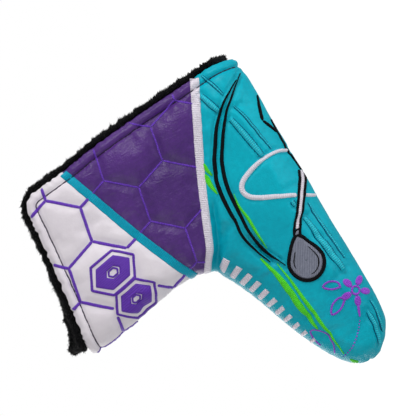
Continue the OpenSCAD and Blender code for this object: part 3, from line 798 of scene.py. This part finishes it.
def neck_foam(s):
    """Foam sheet of one face, with a seat for its magnet."""
    inset = offset(mouth, -8.6)
    heel = part_of(inset, [70.6, 26], [62.5, 112])
    crown = part_of(inset, [60.5, 114.5], [-1.5, 122.5])
    left = part_of(sewn_side, inner_low, [-9.8, 122])
    top = even(np.vstack([left[-1:], crown[::-1]]), 2)
    grid = coons(part_of(low_joint, low_joint[0], heel[0]), top, left, even(heel, 2),
                 np.linspace(0, 1, 40), np.linspace(0, 1, 44))
    seat = bell(np.linalg.norm(grid - MAGNET_AT, axis=-1), 9.6, 8)
    pad = slab(bag(grid, PAD_TOP + 2.55 * seat, s), bag(grid, PAD_LOW + 0.3, s))
    face = FACE_NAME[s]
    make_piece(face + "_neck_foam", FOAM, [pad], [face + "_neck_padding", face + "_flap_padding"], s)


def proud(s):
    """How far the plush stands out along the mouth; the back lining shows most at the neck seam."""
    f = np.linspace(0, 1, len(mouth))
    more = 0.6 * ramp(0.72, 0.93, f) if s < 0 else 3.2 * ramp(0.72, 0.93, f) + 3.0 * ramp(0.88, 1.0, f)
    return (PROUD + more) * np.sqrt(1 - 0.8 * np.clip((f - 0.97) / 0.03, 0, 1) ** 2)


lump = [waves(21 + k, 2.6) for k in range(3)]
slow = [waves(31 + k, 9) for k in range(3)]


def rough_up(p, rim):
    """Uneven pile near the mouth."""
    w = (1 - ramp(6, 16, rim))[..., None] * 0.8
    return p + w * np.stack([0.4 * lump[k](p) + 0.45 * slow[k](p) for k in range(3)], -1)


def tufts(outer, inner, sides, count, seed):
    """Short tapered tufts over the rim of a plush sheet, standing off its surface."""
    r = np.random.default_rng(seed)
    border = ordered_border(*outer.shape[:2])
    way = outward(outer, sides).reshape(-1, 3)[border]
    o, i = outer.reshape(-1, 3)[border], inner.reshape(-1, 3)[border]
    keep = np.linalg.norm(way, axis=1) > 0.5
    o, i, way = o[keep], i[keep], way[keep]
    gap = np.linalg.norm(np.diff(o, axis=0), axis=1)
    gap[gap > 6] = 0
    at = np.interp(r.uniform(0, gap.sum(), count), np.concatenate([[0], np.cumsum(gap)]),
                   np.arange(len(o)))
    k = np.minimum(at.astype(int), len(o) - 2)
    f = (at - k)[:, None]
    o, i, way = (m[k] * (1 - f) + m[k + 1] * f for m in (o, i, way))
    thick = np.linalg.norm(o - i, axis=1)[:, None]
    up = (o - i) / np.maximum(thick, 1e-6)
    w = r.uniform(-1.3, 2.3, count)[:, None]
    turn = np.clip(w, 0, 1) * math.pi
    back = np.maximum(-w, np.maximum(w - 1, 0)) * 4.2 * (np.abs(w - 0.5) > 0.5)
    side = np.cos(turn)
    base = (o + i) / 2 + up * thick / 2 * side + way * (np.sin(turn) * thick / 2 * 0.9 - back)
    normal = unit(up * side + way * (np.sin(turn) + 0.35))
    lean = r.normal(size=(count, 3)) * 0.38
    tip = base + (normal + lean) * r.uniform(0.45, 1.15, count)[:, None]
    a = unit(np.cross(normal, r.normal(size=(count, 3))))
    b = np.cross(normal, a)
    size = r.uniform(0.14, 0.28, count)[:, None]
    corners = [base - normal * 0.4 + size * (a * math.cos(t) + b * math.sin(t))
               for t in (0, 2 * math.pi / 3, 4 * math.pi / 3)]
    v = np.stack(corners + [tip], 1).reshape(-1, 3)
    m = np.arange(count)[:, None] * 4
    faces = np.vstack([m + [0, 1, 2], m + [0, 3, 1], m + [1, 3, 2], m + [2, 3, 0]])
    return v, faces.tolist()


def plush_piece(name, grid, s, sides, count, seed, nodes):
    """Pile sheet that thickens towards the mouth, with tufts over its open sides."""
    rim = near_line(grid, offset(mouth, proud(s)))[0]
    outer = rough_up(bag(grid, PLUSH_TOP - 0.6 * (1 - ramp(0, 3.5, rim)), s, 0.85), rim)
    inner = rough_up(bag(grid, PLUSH_LOW + 1.2 * (1 - ramp(0, 9, rim)), s, 0.6), rim)
    parts = [slab(outer, inner, sides, 2.2), tufts(outer, inner, sides, count, seed)]
    make_piece(name, PLUSH, parts, nodes, s)


def lining(s):
    """Plush of one face, in the neck and in the pocket."""
    face = FACE_NAME[s]
    rim = offset(mouth, proud(s))
    heel_at, corner = (rim[np.argmin(np.linalg.norm(rim - p, axis=1))]
                       for p in ([HEEL_X + PROUD, 21.6], [70.5, 125.5]))
    end = near_line(rim[-1:], sewn_side)[2][0]
    crown = np.vstack([end, part_of(rim, corner, rim[-1])[::-1][1:]])
    grid = coons(np.vstack([low_joint, heel_at]), crown, part_of(sewn_side, inner_low, end),
                 part_of(rim, heel_at, corner), steps(96, 2.6, 0, 16, 0.8), steps(90, 2.2, 0, 18, 0.8))
    plush_piece(face + "_neck_plush_lining", grid, s, ("i1", "j1"), 14000, 5 + s,
                [face + "_neck_plush", face + "_flap_plush"])
    grid = pocket_grid(PROUD, 2.4, 40, -58)
    plush_piece(face + "_pocket_plush_lining", grid, s, ("i0",), 2200, 15 + s, ["plush_bag"])


# ---------------------------------------------------------------- satin, thread and embroidery
STITCH = 2.6


def ribbon(line, width, height, s=-1, step=0.4, ridge=0.05, stitch=0, closed=False,
           caps=True, across=7):
    """Stitched strip along a plane line. width is a number or a function of the fraction along
    it, height a number or a function of the points; stitch > 0 makes separate stitches of that
    length. caps rounds the ends, or "seam" thins the first end. Returns a part for make_piece()."""
    l = even(line, step)
    if closed:
        l = l[:-1]
        t = np.roll(l, -1, axis=0) - np.roll(l, 1, axis=0)
    else:
        t = np.gradient(l, axis=0)
    normal = right_of(unit(t))
    run = arc(l)
    f = run / run[-1]
    w = np.array([width(k) for k in f]) if callable(width) else np.full(len(l), float(width))
    h = height(l) if callable(height) else np.full(len(l), float(height))
    w = w + 0.05 * (np.sin(run * 7.1) + np.sin(run * 11.3 + 1))
    if stitch:
        pull = np.abs(np.sin(math.pi * run / stitch)) ** 0.4
        w, h = w * (0.7 + 0.3 * pull), h * (0.3 + 0.7 * pull)
    if caps == "seam":
        h = h * (0.35 + 0.65 * np.sqrt(1 - (1 - np.clip(run / 2.4, 0, 1)) ** 2))
    elif caps and not closed:
        end = np.clip(np.minimum(run, run[-1] - run) / np.maximum(w / 2, 1e-6), 0, 1)
        cap = np.sqrt(1 - (1 - end) ** 2) * 0.98 + 0.02
        w, h = w * cap, h * (0.3 + 0.7 * cap)
    o = np.linspace(-1, 1, across)
    dome = 0.12 + 0.88 * (1 - np.abs(o) ** 2.6)
    rise = (h[:, None] + ridge * np.cos(2 * math.pi * (run[:, None] + 0.2 * o) / 0.9)) * dome
    half = (normal * (w / 2)[:, None])[:, None]
    top = bag(l[:, None] + half * o[:, None], -rise, s)
    sunk = bag(l[:, None] + half * np.array([[0.96], [-0.96]]), SUNK, s)
    return *swept(np.concatenate([top, sunk], 1), closed), np.repeat(run, across + 2)


def ring_fill(ring, mid, height, rings, hole=0.0, turn=0.0, pitch=0.9, ridge=0.05):
    """Stitched shape between a closed outline and the same outline shrunk by hole (0 = filled).
    Returns a part for make_piece()."""
    f = np.linspace(max(hole, 0.02), 1, rings)
    grid = mid + (ring[:, None] - mid) * f[None, :, None]
    run = grid @ ray(turn)
    edge = np.minimum(1 - f, f - f[0] if hole else 1) * np.linalg.norm(ring - mid, axis=1).mean()
    dome = 0.2 + 0.8 * np.sqrt(np.clip(edge / 0.7, 0, 1))
    top = bag(grid, -(height + ridge * np.cos(2 * math.pi * run / pitch)) * dome[None], -1)
    sunk = bag(grid[:, ::rings - 1][:, ::-1], SUNK, -1)
    thread = np.concatenate([run, run[:, ::rings - 1][:, ::-1]], 1)
    return *swept(np.concatenate([top, sunk], 1), True), thread.ravel()


def taper(width, tip=0.2, peak=0.5):
    """Width that starts thin, swells and runs out to a point."""
    return lambda f: width * (tip + (1 - tip) * math.sin(
        math.pi * (f / (2 * peak) if f < peak else 0.5 + (f - peak) / (2 * (1 - peak)))))


def band(line, w0, w1, s):
    """Satin band whose width goes from w0 to w1."""
    return ribbon(line, lambda f: w0 + (w1 - w0) * f, 0.85, s, 0.3, ridge=0.025, caps="seam", across=9)


def bands(s):
    face = FACE_NAME[s]
    make_piece(face + "_white_satin_band", WHITE_SATIN, [band(low_joint, 3.4, 4.5, s)],
               [face + "_white_band"])
    make_piece(face + "_teal_satin_band", TEAL_SATIN, [band(top_joint, 4.2, 4.0, s)],
               [face + "_teal_band", face + "_flap_band"], s)


BADGE_TURN = 10.6
BADGES = {"upper": (pts([19.2, 103])[0], 9.6, 12.9), "lower": (pts([3.0, 99.8])[0], 8.8, 11.6)}


def hexagon(mid, across, tall, grow=0.0):
    """Long hexagon standing askew, grown outwards by grow."""
    size = [across + grow, tall + grow]
    axes = np.array([ray(BADGE_TURN), ray(BADGE_TURN + 90)])
    return even(np.array([mid + (size * ray(a)) @ axes for a in range(30, 391, 60)]), 0.5)


def quilting(s):
    """Purple thread along the lattice: thin on the purple leather, fuller on the white."""
    purple_poly = np.vstack([low_joint, part_of(heel_edge, heel_low, heel_top), top_joint[::-1]])
    white_poly = np.vstack([top_joint, part_of(heel_edge, heel_top, heel_edge[-1]), neck_end,
                            part_of(sewn_side, inner_top, neck_top)[::-1]])
    parts = []
    for i in range(-6, 7):
        for j in range(-6, 7):
            for arm in HEX_ARMS:
                a = HEX_AT + i * HEX_U + j * HEX_V
                line = a + np.linspace(0, 1, 60)[:, None] * arm
                free = near_line(line, sewn_side)[0] > 0.7
                if s < 0:
                    for mid, across, tall in BADGES.values():
                        free &= ~inside(line, hexagon(mid, across, tall, 1.4))
                for poly, w, h, stitch in ((purple_poly, 0.95, 0.42, 3.1), (white_poly, 1.5, 0.5, 0)):
                    for r0, r1 in stretches(inside(line, poly) & free, 5):
                        parts.append(ribbon(line[r0:r1], w, h, s, 0.45, stitch=stitch, across=5))
    face = FACE_NAME[s]
    make_piece(face + "_hexagon_quilting", VIOLET, parts, [face + "_quilting", face + "_flap_quilting"], s)


def seam_thread():
    """Purple thread that shows along the sewn edge near the end of the neck."""
    line = smooth(pts([-6.9, 105], [-8.2, 113], [-9.6, 120.5], [-10.9, 129.4]))
    make_piece("neck_seam_thread", VIOLET, [ribbon(line, 0.7, 0.3, stitch=STITCH)], [], -1)


def hem_stitching(s):
    """Topstitching a little inside the mouth: over the pocket, and round the flap and neck."""
    face = FACE_NAME[s]
    line = offset(mouth, -4.4)

    def over_bands(p):
        on = [bell(near_line(p, joint)[0], 2.3, 4) for joint in (low_joint, top_joint)]
        return 0.22 + 0.95 * np.maximum(*on)

    def thread(a, b):
        return [ribbon(part_of(line, a, b), 0.62, over_bands, s, 0.35, stitch=STITCH, across=5)]

    make_piece(face + "_pocket_hem_thread", HEM, thread([75.4, 1.5], [75, 25]), ["hem_thread"])
    make_piece(face + "_neck_hem_thread", HEM, thread([75, 25], line[-1] + [1.5, 0]),
               [face + "_flap_hem"], s)


def stroke(width, *p, height=0.55, tip=0.2, peak=0.5, closed=False, caps=True):
    """Satin stroke of the show-face embroidery through the points p."""
    line = smooth(pts(*p, p[0])) if closed else smooth(pts(*p))
    w = width if closed or tip == 1 else taper(width, tip, peak)
    return ribbon(line, w, height, closed=closed, caps=caps)


def drawn(row, height, caps=True):
    """A stroke from a row of the embroidery lists."""
    width, tip, peak, *line = row
    return stroke(width, *line, height=height, tip=tip, peak=peak, caps=caps)


def sweeps():
    parts = [drawn(row, 0.6) for row in SWEEPS + TOP_MARKS]
    make_piece("black_double_sweep", BLACK, parts, ["front_sweeps"])


def loop():
    """The white loop stops on either side of the club's shaft, which lies over it."""
    width, tip, peak, *line = LOOP
    line = smooth(pts(*line), 0.4)
    w = np.array([taper(width, tip, peak)(f) for f in np.linspace(0, 1, len(line))])
    parts = []
    for a, b in stretches(near_line(line, smooth(pts(*SHAFT)))[0] > 1.9, 3):
        f_there = np.linspace(0, 1, b - a)
        parts.append(ribbon(line[a:b], lambda f: np.interp(f, f_there, w[a:b]), 0.7, caps=a == 0))
    make_piece("white_loop", WHITE_SATIN, parts, ["front_loop"])


def blades():
    parts = [stroke(1.9, [42.1, 39.4], [38.4, 39.6], [34.8, 38.8], tip=0.35, peak=0.3),
             stroke(2.6, [37.4, 41.4], [32, 41.8], [25.8, 40.9], tip=0.25, peak=0.3),
             stroke(1.5, [22.4, 34.3], [15.5, 35.2], [8.4, 34.4], [-0.5, 34.3], [-8.6, 33.6], tip=0.2),
             stroke(3.4, [-10.4, 38.8], [-17, 37.2], [-25, 35.6], [-38, 34.6], [-48, 33.6], [-53.8, 32.6],
                    tip=0.25, peak=0.62, height=0.75),
             stroke(1.9, [-16.4, 33.4], [-27, 31.9], [-40, 30.9], [-56, 29.4], [-70.4, 27.4],
                    tip=0.2, peak=0.5),
             stroke(1.8, [-74.2, 26.4], [-76.2, 25.2], [-77.6, 23.4], tip=0.4)]
    make_piece("green_blades", GREEN, parts, ["front_blades"])


CLUB_MID = pts([-22.6, 21])[0]
HOSEL = pts([-9.6, 18.4])[0]


def club_outline(grow):
    """Teardrop of the club head, its point towards the shaft, grown outwards by grow."""
    axis = unit(HOSEL - CLUB_MID)
    side = -right_of(axis)
    t = np.linspace(0, 2 * math.pi, 121)
    pull = np.clip(np.cos(t), 0, 1) ** 3.2
    r_long = 8.9 + 3.2 * pull + grow
    r_wide = (8.0 + grow) * (1 - 0.2 * np.clip(np.cos(t), 0, 1))
    return CLUB_MID + axis * (r_long * np.cos(t))[:, None] + side * (r_wide * np.sin(t))[:, None]


def club():
    """Grey head and white shaft, both outlined in black; the outline is thread of its own."""
    head = ring_fill(club_outline(-0.4)[:-1], CLUB_MID, 0.55, 14, turn=60, ridge=0.02)
    hosel = stroke(2.0, [-12.4, 19.2], [-9.6, 18.2], [-7.6, 16.8], tip=1)
    make_piece("grey_club_head", GREY, [head, hosel], ["front_club_head"])
    core = stroke(1.8, *SHAFT, tip=1, height=0.62)
    make_piece("white_club_shaft", WHITE_SATIN, [core], ["front_club_shaft"])
    mid = smooth(pts(*SHAFT, [-11.3, 18.8]))
    rim = [ribbon(offset(mid, w), 1.3, 0.72) for w in (1.4, -1.4)]
    rim.append(ribbon(club_outline(0.4), 1.7, 0.8, closed=True))
    arcs = club_outline(-2.2)
    rim += [ribbon(arcs[a:b], taper(1.0, 0.4), 0.75) for a, b in ((14, 38), (60, 108))]
    rim.append(stroke(1.2, [-9.4, 20], [-8.2, 18.2], [-7.6, 15.4], tip=0.6, height=0.7))
    make_piece("black_club_outline", BLACK, rim, [])


def sprig():
    """Small flower with two leaves, a stem and a dotted trail that ends in a loop."""
    mid = pts([-46.6, 8.2])[0]
    circle = [ray(t) for t in np.arange(0, 360, 12)]
    eye = np.array([mid + 1.9 * c for c in circle + circle[:1]])
    parts = [ribbon(eye, 1.0, 0.6, step=0.3, closed=True)]
    for t in range(18, 360, 72):
        at = mid + 5.0 * ray(t)
        petal = np.array([at + 2.5 * c[0] * ray(t) + 1.6 * c[1] * ray(t + 90) for c in circle])
        parts.append(ring_fill(petal, at, 0.6, 6, turn=t, pitch=0.7))
    parts += [stroke(0.9, [-41.6, 13.4], [-40.4, 17.4], [-37.2, 20.4], [-36.4, 16.8], [-38.6, 13.4],
                     closed=True, height=0.5),
              stroke(0.9, [-47.6, 14.6], [-50.6, 18.8], [-50.6, 23.4], [-46.8, 20.8], [-45.6, 16.4],
                     closed=True, height=0.5),
              stroke(1.3, [-52, 10], [-55, 11.4], [-58.4, 12.6], tip=0.5)]
    trail = smooth(pts([-59.6, 13.1], [-64, 16.6], [-68.6, 21.6], [-70.6, 25.4], [-71.6, 28.6]))
    for f in np.arange(0, 1, 0.075):
        parts.append(ribbon(along(trail, [f, f + 0.03, f + 0.05]), 0.8, 0.4, step=0.3, across=5))
    parts.append(stroke(0.7, [-68.4, 31.4], [-64.4, 29.9], [-58.6, 30.4], [-54.2, 33], [-53, 36.2],
                        [-56.6, 36.6], [-61.6, 35.1], tip=1, height=0.35))
    make_piece("lilac_sprig", LILAC, parts, ["front_sprig"])


def stripes():
    """Tone-on-tone pairs, a thin line beside a wide one that ends square. Under each lies a slightly
    wider, low, dark teal strip whose rim is painted shadow along the stripe's edges.
    """
    parts = [drawn(row, 0.95 if row[0] > 1.5 else 0.7, row[0] < 1.5) for row in STRIPES]
    make_piece("teal_stripes", TONE_SATIN, parts, ["front_teal_stripes"])
    # painted shadow along the stripes' edges: a wider, low, dark strip under each stripe
    shadow_strips = [drawn((width + 0.9, *row), 0.3, width < 1.5) for width, *row in STRIPES]
    make_piece("teal_stripe_painted_shadows", STRIPE_SHADOW, shadow_strips, [])


def edge_bars():
    """Plain satin lozenges along the top line, smaller towards the toe."""
    line = part_of(sewn_side, [-8.5, 60.2], [-58, 38.8])
    parts = []
    for f in np.arange(11) / 10:
        before, edge, after = along(line, [max(0, f - 0.01), f, min(1, f + 0.01)])
        d = unit(after - before)
        into = -right_of(d)
        tall = 6.6 - 4.4 * f
        a = edge + into * (2.4 - 1.9 * f)
        bar = np.array([a, a + into * tall / 2 + d * 0.3, a + into * tall + d * 0.6])
        parts.append(ribbon(bar, 3.3 - 1.5 * f, 0.55, caps=False))
    make_piece("white_edge_bars", WHITE_SATIN, parts, ["front_edge_bars"])


def badges():
    """Two hexagon badges: an outline, a narrow gap, and a filled ring round a small hexagon."""
    for name, (mid, across, tall) in BADGES.items():
        fill = hexagon(mid, across, tall, -2.4)[:-1]
        outline = hexagon(mid, across, tall)
        parts = [ribbon(outline, 1.3, 0.6, closed=True),
                 ring_fill(fill, mid, 0.7, 12, hole=0.36, turn=BADGE_TURN),
                 ribbon(mid + (outline - mid) * 0.2, 0.9, 0.5, step=0.3, closed=True)]
        make_piece("hexagon_badge_" + name, BADGE, parts, ["front_badge_" + name])


teal_pocket()
for s in (-1, 1):
    neck_leather(s)
    neck_foam(s)
    lining(s)
    bands(s)
    quilting(s)
    hem_stitching(s)
seam_thread()
for embroider in (sweeps, loop, blades, club, sprig, stripes, edge_bars, badges):
    embroider()
for face in FACE_NAME.values():
    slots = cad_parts[face + "_flap_magnet"].data.materials
    slots.clear()
    slots.append(STEEL)


# ---------------------------------------------------------------- floor, light and camera
def glow(name, seen, cast, soft):
    """Plain white stage: bright to the eye, and it gives back a softer light."""
    m = Shade(name)
    strength = m.span(m.add("LightPath").outputs["Is Camera Ray"], cast, seen)
    light = m.add("Emission", Color=(1, 1, 1, 1), Strength=strength).outputs[0]
    dull = m.add("BsdfDiffuse", Color=(0.9, 0.9, 0.9, 1)).outputs[0]
    both = m.add("MixShader", _0=soft, _1=light, _2=dull).outputs[0]
    m.tree.links.new(both, m.tree.nodes["Material Output"].inputs["Surface"])
    return m.material


def turned(ob, x, y, z, at):
    """Sets an object's three axes and its place."""
    ob.matrix_world = Matrix([[x[k], y[k], z[k], at[k]] for k in range(3)] + [[0, 0, 0, 1]])


FLOOR = 12
floor_mesh = bpy.data.meshes.new("floor")
floor_mesh.from_pydata([(-FLOOR, -FLOOR, 0), (FLOOR, -FLOOR, 0), (FLOOR, FLOOR, 0), (-FLOOR, FLOOR, 0)],
                       [], [(0, 1, 2, 3)])
floor_mesh.materials.append(glow("floor", 1.14, 0.32, 0.12))
floor = add_object("floor", floor_mesh)
floor.visible_shadow = False
floor.location.z = CAD_BOX[0][2] - 0.0006

world = bpy.data.worlds.new("studio")
world.use_nodes = True
scene.world = world
tree = world.node_tree
back = tree.nodes["Background"]
path = tree.nodes.new("ShaderNodeLightPath")
span = tree.nodes.new("ShaderNodeMapRange")
span.inputs["To Min"].default_value = 0.4
span.inputs["To Max"].default_value = 1.0
tree.links.new(path.outputs["Is Camera Ray"], span.inputs["Value"])
tree.links.new(span.outputs[0], back.inputs["Strength"])
back.inputs["Color"].default_value = (1, 1, 1, 1)
scene.view_settings.view_transform = "Standard"

MIDDLE = np.array([22.7 + SHIFT[0], 0, 48.4 + SHIFT[1]]) * MM


def softbox(name, direction, distance, size, power):
    """Square soft light, in the given direction from the middle of the view."""
    light = bpy.data.lights.new(name, "AREA")
    light.shape = "SQUARE"
    light.size = size
    light.energy = power
    d = unit(np.array(direction))
    side = unit(np.cross([0.3, 0.2, 0.93], d))
    turned(add_object(name, light), side, np.cross(d, side), d, MIDDLE + d * distance)


softbox("key", (1.0, -0.62, -0.2), 0.7, 0.4, 3.2)
softbox("side", (0.1, -0.5, -1.0), 0.7, 0.5, 2.1)
softbox("fill", (-0.75, -0.7, 0.45), 1.3, 1.0, 3.2)
softbox("rear", (-0.4, 0.9, 0.35), 1.4, 1.1, 8)

camera = bpy.data.cameras.new("camera")
camera.lens = 300
camera.sensor_width = 36
camera.clip_end = 60
# Square on to the show face, turned so that the mouth faces up and to the left.
RIGHT = np.array([-0.50687, 0, -0.86202])
UP = np.array([0.86202, 0, -0.50687])
BACK = np.array([0, -1, 0])
FRAME_WIDTH = 0.1997
eye = MIDDLE + BACK * (FRAME_WIDTH * camera.lens / camera.sensor_width + 0.008)
scene.camera = add_object("camera", camera)
turned(scene.camera, RIGHT, UP, BACK, eye)
